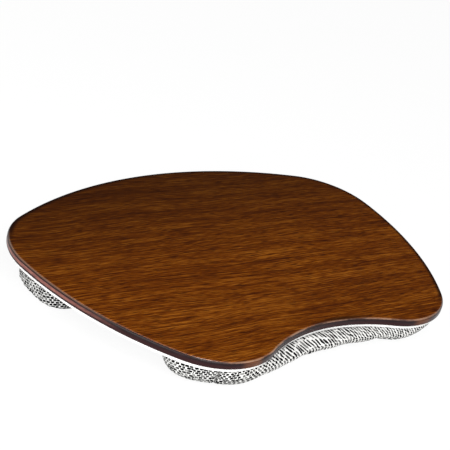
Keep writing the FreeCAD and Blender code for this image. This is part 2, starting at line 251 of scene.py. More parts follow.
# ------------------------------------------------------------------ shader maths
class Wire:
    """An output of a shader node. Arithmetic on it adds Math nodes."""

    def __init__(self, nodes, socket):
        self.nodes, self.socket = nodes, socket

    def beside(self, output):
        """Another output of the same node."""
        return Wire(self.nodes, self.socket.node.outputs[output])

    def maths(self, operation, *values):
        return self.nodes.node("Math", {"operation": operation}, dict(enumerate(values)))

    def __add__(self, other):
        return self.maths("ADD", self, other)

    def __sub__(self, other):
        return self.maths("SUBTRACT", self, other)

    def __rsub__(self, other):
        return self.maths("SUBTRACT", other, self)

    def __mul__(self, other):
        return self.maths("MULTIPLY", self, other)

    def __truediv__(self, other):
        return self.maths("DIVIDE", self, other)

    def __pow__(self, other):
        return self.maths("POWER", self, other)

    __radd__, __rmul__ = __add__, __mul__

    def floor(self):
        return self.maths("FLOOR", self)

    def fraction(self):
        return self.maths("FRACT", self)

    def size(self):
        return self.maths("ABSOLUTE", self)

    def wave(self):
        return self.maths("SINE", self)

    def ramped(self, low, high):
        """0 below low, 1 above high and a smooth step between."""
        values = {0: self, 1: low, 2: high}
        return self.nodes.node("MapRange", {"interpolation_type": "SMOOTHSTEP"}, values)


class Nodes:
    """The nodes of a finish or of the surroundings."""

    def __init__(self, tree):
        self.tree = tree

    def node(self, kind, settings=None, values=None, output=0):
        """Adds a node, sets its settings, then gives its sockets values or links them."""
        made = self.tree.nodes.new("ShaderNode" + kind)
        for setting, value in (settings or {}).items():
            if setting == "stops":
                self.set_stops(made.color_ramp, value)
            else:
                setattr(made, setting, value)
        for socket, value in (values or {}).items():
            self.put(made.inputs[socket], value)
        return Wire(self, made.outputs[output])

    def set_stops(self, ramp, stops):
        while len(ramp.elements) < len(stops):
            ramp.elements.new(1.0)
        for element, (place, colour) in zip(ramp.elements, stops):
            element.position, element.color = place, (*colour, 1.0)

    def put(self, socket, value):
        if isinstance(value, Wire):
            self.tree.links.new(value.socket, socket)
        else:
            socket.default_value = value

    def looked_at(self):
        """1 where the camera, a polish or a glass looks, and 0 where only light is gathered."""
        camera_ray = self.node("LightPath", output="Is Camera Ray")
        rays = camera_ray + camera_ray.beside("Is Glossy Ray") + camera_ray.beside("Is Transmission Ray")
        return rays.maths("MINIMUM", rays, 1.0)


class Finish(Nodes):
    """A material around one Principled shader."""

    def __init__(self, name, **constants):
        self.material = bpy.data.materials.new(name)
        self.material.use_nodes = True
        super().__init__(self.material.node_tree)
        self.shader = self.tree.nodes["Principled BSDF"]
        for socket, value in constants.items():
            self.shader.inputs[socket.replace("_", " ")].default_value = value

    def varies(self, socket, value):
        """Links something that changes over the surface to the shader."""
        self.put(self.shader.inputs[socket], value)

    def place(self):
        """The point on the object, in metres."""
        return self.node("TexCoord", output="Object")

    def carried(self, name):
        """A number that the mesh's points carry."""
        return self.node("Attribute", {"attribute_name": name}, output="Fac")

    def parts(self, vector):
        """The three numbers of a vector."""
        split = self.node("SeparateXYZ", values={0: vector})
        return [split.beside(axis) for axis in range(3)]

    def vector(self, x, y, z=0.0):
        return self.node("CombineXYZ", values={0: x, 1: y, 2: z})

    def noise(self, vector, scale=1.0, detail=2.0, roughness=0.5):
        values = {"Vector": vector, "Scale": scale, "Detail": detail, "Roughness": roughness}
        return self.node("TexNoise", values=values)

    def colours(self, factor, stops):
        return self.node("ValToRGB", {"stops": stops}, {0: factor})

    def mixed(self, factor, first, second):
        """A blend of two colours."""
        first, second = [(*c, 1.0) if isinstance(c, tuple) and len(c) == 3 else c for c in (first, second)]
        settings = {"data_type": "RGBA", "clamp_result": True}
        return self.node("Mix", settings, {0: factor, 6: first, 7: second}, output=2)

    def bump(self, height, distance):
        values = {"Strength": 1.0, "Distance": distance, "Height": height}
        self.varies("Normal", self.node("Bump", values=values))


# ------------------------------------------------------------------ finishes
GRAIN_SLOPE = 0.08  # how far the grain turns off the tray's length
GRAIN_SWAY = 24 * MM
# The grain's parts, as noises: their waves to the metre along the grain and across it,
# the level they are cut at, their detail and their roughness.
GRAIN = {
    "bands": (4.0, 55.0, 0.0, 2.0, 0.5),
    "streaks": (13.0, 640.0, 3.0, 1.5, 0.55),
    "fibres": (60.0, 900.0, 7.0, 1.5, 0.55),
    "pores": (48.0, 760.0, 11.0, 1.0, 0.5),
    "veins": (7.0, 105.0, 17.0, 1.5, 0.6),
}
WALNUT = [
    (0.18, (0.040, 0.0065, 0.0002)),
    (0.40, (0.092, 0.0190, 0.0004)),
    (0.58, (0.150, 0.0350, 0.0010)),
    (0.84, (0.290, 0.0920, 0.0070)),
]
WALNUT_PAINTED_SHADE = (0.022, 0.0055, 0.0003)
PORE_BROWN = (0.022, 0.004, 0.0002)
GOLD_PAINTED_HIGHLIGHT = (0.42, 0.21, 0.08)
RIM_PAINTED_SHADE = (0.009, 0.0018, 0.0004)
RIM_LINE = (3.5 * MM, 9 * MM)  # the painted rim shade is full this far inside the edge, and gone by this far


def walnut(name, shade=1.0):
    """Stained walnut veneer, its grain left to right, under a thin satin lacquer.

    Bands, streaks and fibres are noises stretched along the grain, each finer than
    the one before. Thin dark veins follow a noise's middle level, and short pores
    lie between. Painted shade darkens the wood toward the back, and a painted
    highlight lightens the rounded top edge in patches along the front. The lacquer
    is thickest on the rounded edge of the near side, and painted shade darkens the
    rim of the far side.
    """
    wood = Finish(name, Specular_IOR_Level=0.0, Coat_Roughness=0.2, Coat_IOR=2.0)
    x, y, _ = wood.parts(wood.place())
    sway = wood.noise(wood.vector(x * 4.0, y * 7.0), detail=0.8)
    across = x * GRAIN_SLOPE + y + (sway - 0.5) * GRAIN_SWAY
    bands, streaks, fibres, pores, veins = [
        wood.noise(wood.vector(x * along, across * over, level), detail=detail, roughness=roughness)
        for along, over, level, detail, roughness in GRAIN.values()
    ]
    vein = 1.0 - (veins - 0.5).size().ramped(0.0, 0.035)
    pore = pores.ramped(0.57, 0.68)
    tone = (bands - 0.5) * 0.62 + (streaks - 0.5) * 1.05 + (fibres - 0.5) * 0.95 - vein * 0.19 + 0.55
    shaded = [(place, (red * shade, green * shade, blue)) for place, (red, green, blue) in WALNUT]
    colour = wood.colours(tone, shaded)
    # painted shade: the wood is darkened toward the back
    colour = wood.mixed(y.ramped(-50 * MM, 200 * MM) * 0.66, colour, WALNUT_PAINTED_SHADE)
    colour = wood.mixed(pore * 0.75, colour, PORE_BROWN)
    rounded = 1.0 - wood.parts(wood.node("NewGeometry", output="Normal"))[2].ramped(0.80, 0.995)
    # painted highlight: the rounded top edge is lightened in patches along the front
    colour = wood.mixed(rounded * arris_painted_highlight(wood, x, y) * 0.6, colour, GOLD_PAINTED_HIGHLIGHT)
    away = far_side(x, y)
    # painted shade: the rim of the far side is darkened
    rim = (1.0 - wood.carried("inside").ramped(*RIM_LINE)) * away
    wood.varies("Base Color", wood.mixed(rim * 0.92, colour, RIM_PAINTED_SHADE))
    wood.varies("Roughness", fibres * 0.2 + 0.35)
    wood.varies("Coat Weight", rounded * (1.0 - away) * 0.7 + 0.02)
    wood.bump(fibres * 0.3 - pore, 0.05 * MM)
    return wood.material


def far_side(x, y):
    """1 round the back and the right end of the tray, 0 at its front and left."""
    return (x + y).ramped(-190 * MM, -130 * MM) * y.ramped(-178 * MM, -160 * MM)


def foremost(x, y):
    """1 at the foremost point of each lobe, where painted highlights are put, fading to 0 on both sides."""
    beside = (x.size() - LOBE[0]).size().ramped(5 * MM, 19 * MM)
    return (1.0 - beside) * (1.0 - y.ramped(-194.5 * MM, -188 * MM))


def arris_painted_highlight(finish, x, y):
    """How strong the painted highlight on the rounded top edge is.

    It goes in patches along the front, and a little at the left end.
    """
    front = (1.0 - y.ramped(-162.5 * MM, -150 * MM)) * (1.0 - x.size().ramped(168 * MM, 188 * MM))
    patch = finish.noise(finish.vector(x * 30.0, y * 30.0, 3.0), detail=3.0, roughness=0.6)
    end = x.size().ramped(245 * MM, 275 * MM) * (1.0 - far_side(x, y))
    return front * (patch.ramped(0.42, 0.62) * 0.7 + foremost(x, y) * 0.5 + 0.1) + end * 0.35


EDGE_STAIN = [(0.3, (0.006, 0.0028, 0.0032)), (0.7, (0.022, 0.0095, 0.0110))]
EDGE_FOOT = (0.026, 0.0065, 0.0070)
COPPER_PAINTED_LIGHT = ((0.19, 0.070, 0.062), (0.31, 0.130, 0.098))
BROWN_PAINTED_HIGHLIGHT = (0.135, 0.046, 0.018)
PALE_PAINTED_HIGHLIGHT = (0.28, 0.16, 0.11)


def stained_edge():
    """The board's edge: near-black brown stain over fibreboard, lacquered.

    Painted light turns the stain copper brown in a band along the tray's two ends,
    and a painted highlight turns it warm brown at the foremost point of each lobe.
    A painted highlight lightens the rounded top, as on the veneer.
    """
    edge = Finish("board_edge_stain", Specular_IOR_Level=0.15)
    x, y, z = edge.parts(edge.place())
    height = z * (1 / MM)
    cloud = edge.noise(edge.vector(x * 60.0, y * 60.0, z * 500.0), detail=4.0, roughness=0.6)
    patch = edge.noise(edge.vector(x * 22.0, y * 22.0, 5.0), detail=3.0)
    foot = 1.0 - (height + patch * 1.6).ramped(45.2, 47.4)
    colour = edge.mixed(foot * 0.8, edge.colours(cloud, EDGE_STAIN), EDGE_FOOT)
    # painted light: a copper band along both ends of the edge
    ends = x.size().ramped(248 * MM, 284 * MM)
    band = (height + patch * 1.2).ramped(43.2, 44.6) * (1.0 - (height + patch * 1.6).ramped(46.9, 48.3))
    streak = edge.noise(edge.vector(x * 30.0, y * 150.0, z * 900.0), detail=2.0).ramped(0.38, 0.62)
    colour = edge.mixed(band * ends * 0.9, colour, edge.mixed(streak, *COPPER_PAINTED_LIGHT))
    # painted highlight: warm brown at the foremost point of each lobe
    lobe_highlight = foremost(x, y) * (cloud.ramped(0.30, 0.60) * 0.45 + 0.4)
    colour = edge.mixed(lobe_highlight, colour, BROWN_PAINTED_HIGHLIGHT)
    # painted highlight: the rounded top of the edge is lightened as on the veneer
    top_highlight = (height + patch * 0.6).ramped(48.4, 48.9) * arris_painted_highlight(edge, x, y)
    edge.varies("Base Color", edge.mixed(top_highlight, colour, PALE_PAINTED_HIGHLIGHT))
    edge.varies("Roughness", cloud * 0.15 + 0.22)
    edge.bump(cloud, 0.08 * MM)
    return edge.material


def white_panel():
    """Plain white moulded board, satin."""
    panel = Finish("white_panel_satin", Base_Color=(0.86, 0.86, 0.85, 1.0), Specular_IOR_Level=0.4)
    grain = panel.noise(panel.place(), scale=900.0)
    panel.varies("Roughness", grain * 0.12 + 0.38)
    panel.bump(grain, 0.03 * MM)
    return panel.material


def screw_steel():
    """Turned steel, plated with zinc."""
    steel = Finish("zinc_plated_steel", Base_Color=(0.55, 0.55, 0.54, 1.0), Metallic=1.0)
    turned = steel.noise(steel.place(), scale=1500.0)
    steel.varies("Roughness", turned * 0.2 + 0.25)
    steel.bump(turned, 0.02 * MM)
    return steel.material


PITCH = 5.2 * MM  # spacing of the marks in a row
ROW = 3.1 * MM  # spacing of the rows
MARK = (2.08 * MM, 1.44 * MM)  # half the length and height of a mark
LEAN_MARK = (1.68 * MM, 1.42 * MM)  # the same where the marks lean into one another
MARK_POWER = 2.6  # 2 makes an oval mark, and more a squarer one
WANDER = (1.6 * MM, 1.2 * MM)  # how far the marks wander together, along and across their row
SCATTER = (1.2 * MM, 0.6 * MM)  # and how far each strays from its place
YARN = 0.62 * MM  # spacing of the cloth's threads
CLOTH_WHITE = ((0.88, 0.88, 0.86), (0.82, 0.82, 0.795))
THREAD_GREY = (0.66, 0.65, 0.63)
MARK_BLACK = (0.004, 0.004, 0.0045)
SEAM_SHADE = (0.05, 0.048, 0.045)


def dash_marks(cloth, u, v):
    """Short dark marks in staggered rows on the cloth's own u and v: 1 on a mark, 0 between."""
    wander = cloth.noise(cloth.vector(u * 140.0, v * 140.0))
    wander_v = cloth.noise(cloth.vector(u * 140.0, v * 140.0, 9.0))
    v_at = v + (wander_v - 0.5) * WANDER[1]
    row = (v_at / ROW).floor()
    along = (u + (wander - 0.5) * WANDER[0]) / PITCH + row * 0.5
    values = {"Vector": cloth.vector(along.floor(), row)}
    chance = cloth.node("TexWhiteNoise", {"noise_dimensions": "2D"}, values, "Color")
    first, second, third = cloth.parts(chance)
    off_u = (along.fraction() - 0.5) * PITCH + (first - 0.5) * SCATTER[0]
    off_v = ((v_at / ROW).fraction() - 0.5) * ROW + (second - 0.5) * SCATTER[1]
    leaning = cloth.carried("leaning")
    off_u = off_u - leaning * off_v * (PITCH / 2 / ROW)
    length = (leaning * (LEAN_MARK[0] - MARK[0]) + MARK[0]) * (third * 0.4 + 0.82)
    height = leaning * (LEAN_MARK[1] - MARK[1]) + MARK[1]
    off_middle = ((off_u / length).size() ** MARK_POWER) + ((off_v / height).size() ** MARK_POWER)
    faint = (second * 7.0 + first * 5.0).fraction().ramped(0.0, 0.22)
    worn = cloth.noise(cloth.vector(u * 90.0, row * 3.7), detail=1.0).ramped(0.34, 0.45)
    return (1.0 - off_middle.ramped(0.80, 1.30)) * (faint * 0.25 + 0.75) * (worn * 0.3 + 0.7)


def dashed_cloth():
    """Off-white plain weave with short black marks, and painted shade along its seams."""
    cloth = Finish("dashed_cloth", Specular_IOR_Level=0.06)
    u, v, _ = cloth.parts(cloth.node("UVMap", {"uv_map": "cloth"}))
    mark = dash_marks(cloth, u, v)
    weave = (u * (2 * pi / YARN)).wave() * (v * (2 * pi / YARN)).wave()
    soil = cloth.noise(cloth.place(), scale=35.0, detail=3.0)
    ground = cloth.mixed((weave * 0.5 + 0.5) * 0.12, cloth.mixed(soil, *CLOTH_WHITE), THREAD_GREY)
    colour = cloth.mixed(mark, ground, MARK_BLACK)
    # painted shade darkens the cloth along its seams and the deck line
    cloth.varies("Base Color", cloth.mixed(cloth.carried("tucked") * 0.8, colour, SEAM_SHADE))
    cloth.varies("Roughness", mark * -0.1 + 0.9)
    cloth.bump(weave * 0.5 + mark * 0.5, 0.14 * MM)
    return cloth.material


def dress(piece, finish, slot, *nodes):
    """Gives a piece its finish, hangs it from the root body and hides the solids it stands for."""
    piece.data.materials.append(finish)
    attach(piece, "root")
    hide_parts(*nodes)
    return piece


# ------------------------------------------------------------------ the tray
dress(plate("tray_face", board_edge(CORE_TOP, TOP)), walnut("walnut_face"), "walnut_veneer", "face_veneer")
dress(plate("tray_core", board_edge(CORE_FLOOR, CORE_TOP)), stained_edge(), "board_core", "core_board")
dress(
    plate("tray_backing", board_edge(PANEL_TOP, CORE_FLOOR)),
    walnut("walnut_backing", shade=0.8),
    "walnut_veneer",
    "backing_veneer",
)
panel_edge = rounded_edge(PANEL_INSET, PANEL_FLOOR, PANEL_ROUND, PANEL_TOP, PANEL_ROUND, PANEL_ROUND_POINTS)
dress(plate("white_panel", panel_edge), white_panel(), "white_panel", "base_panel")
if "panel_screws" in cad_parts:
    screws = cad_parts["panel_screws"]
    screws.data.materials.clear()
    screws.data.materials.append(screw_steel())


# ------------------------------------------------------------------ how the cloth is laid
ARCH_SLOPE = 0.37  # the front panel's rows arch over the hollow: their steepest slope,
ARCH_MIDDLE = 8 * MM  # the middle of the arch
ARCH_SPAN = 200 * MM  # and half its span
PULL_MIDDLE = -52 * MM  # here the front panel is pulled furthest out of square,
PULL_REACH = 95 * MM  # and this far to either side not at all
LEAN_START = -150 * MM  # right of this the panel's marks begin to lean
LEAN_FADE = 40 * MM
HALF_WALL = 18 * MM  # about half the cloth's length down a wall
CAP_CUT = (2.1 * MM, 1.3 * MM)  # where on the cloth the top and the base are cut
PANEL_CUT = 13.7 * MM  # how far from one another the wall panels are cut
WALL_CUT = 0.5  # and how far from the top and the base


def smooth_share(values):
    share = np.clip(values, 0, 1)
    return share**2 * (3 - 2 * share)


def straight_lay(x, cut):
    """How fast u and v change along a wall and down it, the cloth turned by its cut."""
    turned = np.ones(len(x)) * np.exp(1j * cut)
    return turned.real, -turned.imag, turned.imag, turned.real


def arched_lay(x, _):
    """The same for the front panel, whose rows arch whatever its cut."""
    pull = smooth_share(1 - np.abs(x - PULL_MIDDLE) / PULL_REACH)
    down = 1 - 0.62 * pull
    slope = -ARCH_SLOPE * np.sin(pi * (x - ARCH_MIDDLE) / ARCH_SPAN)
    return 1 + 0.08 * pull, -0.12 - 0.45 * pull, down * slope, down


# ------------------------------------------------------------------ the bolsters
def row_steps(wall):
    """The length of cloth between each row of the wall's points and the next."""
    return np.linalg.norm(np.diff(wall, axis=0), axis=2).mean(axis=1)


class Bolster:
    """A stuffed bolster, sewn from wall panels and a base, hung from the deck cloth.

    Threads run down its wall at places round its outline and rows run round it.
    A thread starts on the deck line, drawn in by tuck, swells to the outline at
    the belly and rolls under to the matching point of the foot, the base's outline.
    """

    ROWS = 14
    BELLY_ROW = 4
    UPPER_TURN = radians(62)  # how far the wall above the belly turns

    def __init__(self, name, outline, foot, corners, seams, belly, roundness, cut, drawn=0.0, arched=False):
        """Corners and seams are points near the outline, anticlockwise from the front left.

        The roll's curve is |x|^n + |z|^n = 1, n the roundness. Cut is how far the
        marks' rows climb, and drawn the share by which the cloth is pulled longer
        where it rolls under.
        """
        self.name, self.outline, self.belly = name, outline, belly
        self.roundness, self.cut, self.drawn, self.arched = roundness, cut, drawn, arched
        self.lay_threads([outline.place_of(*c) for c in corners], [outline.place_of(*s) for s in seams])
        self.points, self.normals = outline.at(self.places % outline.length)
        self.foot = outline.matched(self.places % outline.length, foot)
        self.tuck = lean_in(self.points)

    def lay_threads(self, corners, seams):
        """Spaces the threads evenly between corners and seams, as many on either long side."""
        length = self.outline.length
        corners = np.unwrap(np.array(corners) / length * 2 * pi) / (2 * pi) * length
        corners[1:] += length * (corners[1:] < corners[0])
        seams = (np.array(seams) - corners[0]) % length + corners[0]
        front_left, front_right, back_right, back_left = corners
        self.long = int(max(front_right - front_left, back_left - back_right) / CLOTH_STEP)
        self.short = int((back_right - front_right) / CLOTH_STEP)
        sides = [
            (front_left, front_right, back_right, seams[:2]),
            (back_right, back_left, front_left + length, seams[2:]),
        ]
        places, self.seam_columns = [], []
        for start, end, next_start, (first, last) in sides:
            outer = max(1, round(self.long * (first - start) / (end - start)))
            before = sum(map(len, places))
            self.seam_columns += [before + outer, before + self.long - outer]
            spans = [(start, first, outer), (first, last, self.long - 2 * outer), (last, end, outer)]
            spans.append((end, next_start, self.short))
            places += [np.linspace(low, high, count, endpoint=False) for low, high, count in spans]
        self.places = np.concatenate(places)
        self.columns = len(self.places)
        self.panels = np.searchsorted(self.seam_columns, np.arange(self.columns), side="right") % 4

    def wall(self):
        """Rows of points from the deck line to the base seam."""
        up = np.linspace(self.UPPER_TURN, 0, self.BELLY_ROW + 1)[:-1, None]
        down = np.linspace(0, pi / 2, self.ROWS - self.BELLY_ROW + 1)[:, None]
        share = (1 - np.cos(up)) / (1 - np.cos(self.UPPER_TURN))
        rise = np.sin(up) / np.sin(self.UPPER_TURN)
        under = (1 - np.cos(down) ** (2 / self.roundness))[..., None]
        high = self.points - (share * self.tuck)[..., None] * self.normals
        low = self.points + under * (self.foot - self.points)
        height = np.concatenate([
            self.belly + (DECK_FLOOR - self.belly) * rise,
            self.belly * (1 - np.sin(down) ** (2 / self.roundness)),
        ]) * np.ones(self.columns)
        return np.concatenate([np.concatenate([high, low]), height[..., None]], axis=2)

    def cap(self, ring, first, ring_start):
        """Points inside a ring, and the table of point numbers of the whole patch.

        The ring's four sides are blended: each inside point is the sum of the
        blends along and across, less the blend of the four corners.
        """
        long, short = self.long, self.short
        number = np.arange(self.columns)
        table = np.zeros((long + 1, short + 1), dtype=int)
        table[:, 0] = number[: long + 1]
        table[long, :] = number[long : long + short + 1]
        table[:, short] = number[long + short : 2 * long + short + 1][::-1]
        table[0, :] = np.append(number[2 * long + short :], 0)[::-1]
        along = np.linspace(0, 1, long + 1)[:, None, None]
        across = np.linspace(0, 1, short + 1)[None, :, None]
        front, back = ring[table[:, 0]][:, None], ring[table[:, short]][:, None]
        left, right = ring[table[0, :]][None], ring[table[long, :]][None]
        patch = (1 - across) * front + across * back + (1 - along) * left + along * right
        patch -= (1 - along) * ((1 - across) * front[:1] + across * back[:1])
        patch -= along * ((1 - across) * front[-1:] + across * back[-1:])
        table += ring_start
        table[1:long, 1:short] = first + np.arange((long - 1) * (short - 1)).reshape(long - 1, short - 1)
        return patch[1:long, 1:short].reshape(-1, 3), table

    def sewn(self):
        """The cover as one closed mesh, before it is stuffed."""
        wall = self.wall()
        rows, columns = wall.shape[:2]
        count = rows * columns
        top, top_table = self.cap(wall[0], count, 0)
        base, base_table = self.cap(wall[-1], count + len(top), count - columns)
        points = np.concatenate([wall.reshape(-1, 3), top, base])
        faces = [ring_faces(rows, columns)[:, ::-1]]
        corners = [self.wall_corners(wall).reshape(-1, 2)]
        for table, turned in ((top_table, False), (base_table, True)):
            front, back = table[:, :-1], table[:, 1:]
            quads = np.stack([front[:-1], front[1:], back[1:], back[:-1]], axis=-1).reshape(-1, 4)
            faces.append(quads[:, ::-1] if turned else quads)
            corners.append(points[faces[-1]][..., :2].reshape(-1, 2) + CAP_CUT)
        made = piece_of(self.name, points, np.concatenate(faces).tolist())
        lay_out(made.data, np.concatenate(corners))
        self.mark(made.data, wall)
        return made

    def wall_corners(self, wall):
        """Places on the cloth at each corner of each face; every panel is cut from its own place."""
        steps = row_steps(wall)
        under = (np.arange(len(steps)) - self.BELLY_ROW) / (self.ROWS - self.BELLY_ROW)
        steps *= 1 - self.drawn * smooth_share(under * 3)
        down = np.append(0, np.cumsum(steps))[:, None] - HALF_WALL
        along = np.append(self.places, self.places[0] + self.outline.length)
        x = np.append(self.points[:, 0], self.points[0, 0])
        laid = []
        for lay in (straight_lay, arched_lay):
            rates = np.array(lay(x, self.cut))
            strides = (rates[:, 1:] + rates[:, :-1]) / 2 * np.diff(along)
            along_u, _, along_v, _ = np.concatenate([np.zeros((4, 1)), np.cumsum(strides, axis=1)], axis=1)
            laid.append(np.stack([along_u + rates[1] * down, along_v + rates[3] * down], axis=-1))
        straight, arched = laid
        in_front = (self.arched & (self.panels == 1))[:, None]
        rows, columns = wall.shape[0] - 1, self.columns
        corners = [
            np.where(in_front, *[lay[row : rows + row, side : columns + side] for lay in (arched, straight)])
            for side, row in ((0, 1), (1, 1), (1, 0), (0, 0))
        ]
        return np.stack(corners, axis=2) + (self.panels[:, None, None] * PANEL_CUT + WALL_CUT)

    def mark(self, mesh, wall):
        """Has each point carry its distances from the seams, its angle round the outline and its lean."""
        rows = wall.shape[0]
        elsewhere = len(mesh.vertices) - rows * self.columns
        apart = np.abs(self.places[:, None] - self.places[self.seam_columns])
        apart = np.minimum(apart, self.outline.length - apart).min(axis=1)
        down = np.append(0, np.cumsum(row_steps(wall)))
        around = self.places / self.outline.length * 2 * pi
        lean = smooth_share((self.points[:, 0] - LEAN_START) / LEAN_FADE)
        leaning = lean * (self.panels == 1) * self.arched
        marks = {
            "from_seam": (np.tile(apart, rows), FAR),
            "from_base": (np.repeat(down[-1] - down, self.columns), FAR),
            "from_deck": (np.repeat(down, self.columns), FAR),
            "around_cos": (np.tile(np.cos(around), rows), FAR),
            "around_sin": (np.tile(np.sin(around), rows), FAR),
            "leaning": (np.tile(leaning, rows), 0.0),
        }
        for name, (on_wall, off_wall) in marks.items():
            carry(mesh, name, np.append(on_wall, np.full(elsewhere, off_wall)))


def evaluated(piece):
    """The piece's mesh with its modifiers, at this frame."""
    return bpy.data.meshes.new_from_object(piece.evaluated_get(bpy.context.evaluated_depsgraph_get()))


def place_points(mesh, points):
    """Moves the mesh's points, none below the lap or above the deck cloth."""
    points[:, 2] = points[:, 2].clip(0, DECK_FLOOR)
    mesh.vertices.foreach_set("co", points.astype(np.float32).ravel())
    mesh.update()


STUFFING_FRAMES = 20
PRESSURE = 1.3
SLACK = -0.015  # the cover is cut this share larger than its form
GATHER = 0.03  # and the seams are drawn up by this share
MOST_MOVE = 4 * MM
ON_SEAM = 0.1 * MM  # points nearer than this are on the seam


def stuff(piece):
    """Swells the cover over its filling by cloth simulation, held on the deck line and on its base."""
    mesh = piece.data
    start = coordinates(mesh)
    seam, base, deck = (carried(mesh, name) for name in ("from_seam", "from_base", "from_deck"))
    fast = (deck > FAR / 2) | (deck < ON_SEAM) | (base < ON_SEAM)
    piece.vertex_groups.new(name="held").add(np.flatnonzero(fast).tolist(), 1.0, "REPLACE")
    piece.vertex_groups.new(name="gathered").add(np.flatnonzero(seam < ON_SEAM).tolist(), 1.0, "REPLACE")
    cloth = piece.modifiers.new("stuffing", "CLOTH")
    settings = cloth.settings
    settings.quality = 8
    settings.mass = 0.15
    settings.tension_stiffness = settings.compression_stiffness = 18
    settings.shear_stiffness = 6
    settings.bending_stiffness = 0.4
    settings.use_pressure = True
    settings.uniform_pressure_force = PRESSURE
    settings.vertex_group_mass = "held"
    settings.vertex_group_shrink = "gathered"
    settings.shrink_min, settings.shrink_max = SLACK, GATHER
    settings.effector_weights.gravity = 0
    cloth.collision_settings.use_collision = False
    scene = bpy.context.scene
    for frame_number in range(1, STUFFING_FRAMES + 1):
        scene.frame_set(frame_number)
    move = coordinates(evaluated(piece)) - start
    piece.modifiers.remove(cloth)
    scene.frame_set(1)
    length = np.linalg.norm(move, axis=1)[:, None]
    place_points(mesh, start + move * np.minimum(1, MOST_MOVE / np.maximum(length, TINY)))


def divide(piece):
    """One subdivision of the cover, applied."""
    rounding = piece.modifiers.new("rounding", "SUBSURF")
    rounding.levels = rounding.render_levels = 1
    divided = evaluated(piece)
    piece.modifiers.remove(rounding)
    piece.data = divided
    for group in list(piece.vertex_groups):
        piece.vertex_groups.remove(group)


LUMP_WAVES = 10


def lumps(points, wavelength, seed):
    """A smooth uneven field of about -1 to 1: the sum of waves in seeded directions."""
    draw = np.random.default_rng(seed)
    waves = draw.normal(size=(LUMP_WAVES, 3))
    rate = 2 * pi / wavelength * draw.uniform(0.7, 1.4, LUMP_WAVES)
    waves *= (rate / np.linalg.norm(waves, axis=1))[:, None]
    field = np.sin(points @ waves.T + draw.uniform(0, 2 * pi, LUMP_WAVES)).sum(axis=1)
    return field / LUMP_WAVES**0.5 / 1.4


SEAM_DEPTH = 1.5 * MM
SEAM_WIDTH = 1.7 * MM
DECK_SEAM_WIDTH = 1.2 * MM
DECK_FADE = 4 * MM  # the wall keeps its shape at the deck line and is uneven from this far below it
BOLSTER_ROUND = 1.1  # about the length round a bolster
PUCKER = 0.55 * MM
PUCKER_REACH = 9 * MM
PUCKER_STEP = 8.5 * MM
WOBBLE_LENGTH = 30 * MM  # the puckers' spacing drifts over this length
WOBBLE = 1.6
LUMP = 0.8 * MM
LUMP_LENGTH = 42 * MM


def faded(distance, reach):
    return np.exp(-distance / reach)


def grooved(distance, width):
    return np.exp(-((distance / width) ** 2))


def tuck_seams(piece, seed):
    """Sinks the seams, and raises puckers beside them and lumps of filling between."""
    mesh = piece.data
    points = coordinates(mesh)
    normals = np.empty(len(points) * 3, dtype=np.float32)
    mesh.vertex_normals.foreach_get("vector", normals)
    seam, base, deck = (carried(mesh, name) for name in ("from_seam", "from_base", "from_deck"))
    around = np.arctan2(carried(mesh, "around_sin"), carried(mesh, "around_cos"))
    on_wall = deck < FAR / 2
    wobble = lumps(points, WOBBLE_LENGTH, seed) * WOBBLE
    beside_seam = np.sin(points[:, 2] * 2 * pi / PUCKER_STEP + wobble)
    along_rim = np.sin(around * round(BOLSTER_ROUND / PUCKER_STEP) + wobble)
    raised = PUCKER * beside_seam * faded(seam, PUCKER_REACH)
    raised += PUCKER * along_rim * (faded(base, PUCKER_REACH) + 0.6 * faded(deck, PUCKER_REACH))
    raised += LUMP * lumps(points, LUMP_LENGTH, seed + 1)
    groove = grooved(np.minimum(seam, base), SEAM_WIDTH)
    raised -= SEAM_DEPTH * groove
    raised *= np.clip(deck / DECK_FADE, 0, 1) * on_wall
    place_points(mesh, points + normals.reshape(-1, 3) * raised[:, None])
    # the points carry painted shade for the seams and the deck line
    carry(mesh, "tucked", np.maximum(groove, grooved(deck, DECK_SEAM_WIDTH) * 0.6) * on_wall)


# ------------------------------------------------------------------ the bolsters' forms
FRONT_WALL_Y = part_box("front_bolster_inner_wall")[1].y
REAR_WALL_SWELL = 3 * MM  # the wall is sewn this far inside its stuffed face
REAR_WALL_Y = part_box("rear_bolster_inner_wall")[0].y + REAR_WALL_SWELL
# In millimetres: the front bolster's left and right lobes, the radii of the hollow between
# them and of the inner corners, and where the inner wall stands.
FRONT_BELLY_FORM = ((-131.2, -104.8, 91.5), (142.0, -108.0, 82.4), 467.0, 19.0, FRONT_WALL_Y / MM)
FRONT_FOOT_FORM = ((-138.0, -107.2, 52.5), (147.5, -109.6, 47.0), 355.0, 11.0, -124.3)
FRONT_BELLY = 27.5 * MM
FRONT_SEAM_X = 176 * MM
REAR_INSET = 22 * MM
REAR_CORNER_INSIDE = 28 * MM
REAR_ROLL = 2.5 * MM
REAR_BELLY = 24 * MM
REAR_SEAM_X = 190 * MM
TUCK = 2.5 * MM  # how far a wall leans in at the deck line
SPARE_LEAN = 1 * MM  # and at least this far behind the deck cloth's edge
EVERY = 8  # this many points apart, the deck line is fine enough to find the nearest

DECK = Outline(drawn_in(DECK_INSET, *TRAY.circles))


def lean_in(points):
    """Enough lean for each thread to meet the deck cloth, which the bolster overhangs at the waist."""
    edge, normals = DECK.edge[::EVERY], DECK.normals[::EVERY]
    nearest = np.argmin(np.linalg.norm(points[:, None] - edge, axis=2), axis=1)
    overhang = np.sum((points - edge[nearest]) * normals[nearest], axis=1)
    return np.maximum(TUCK, overhang + SPARE_LEAN)


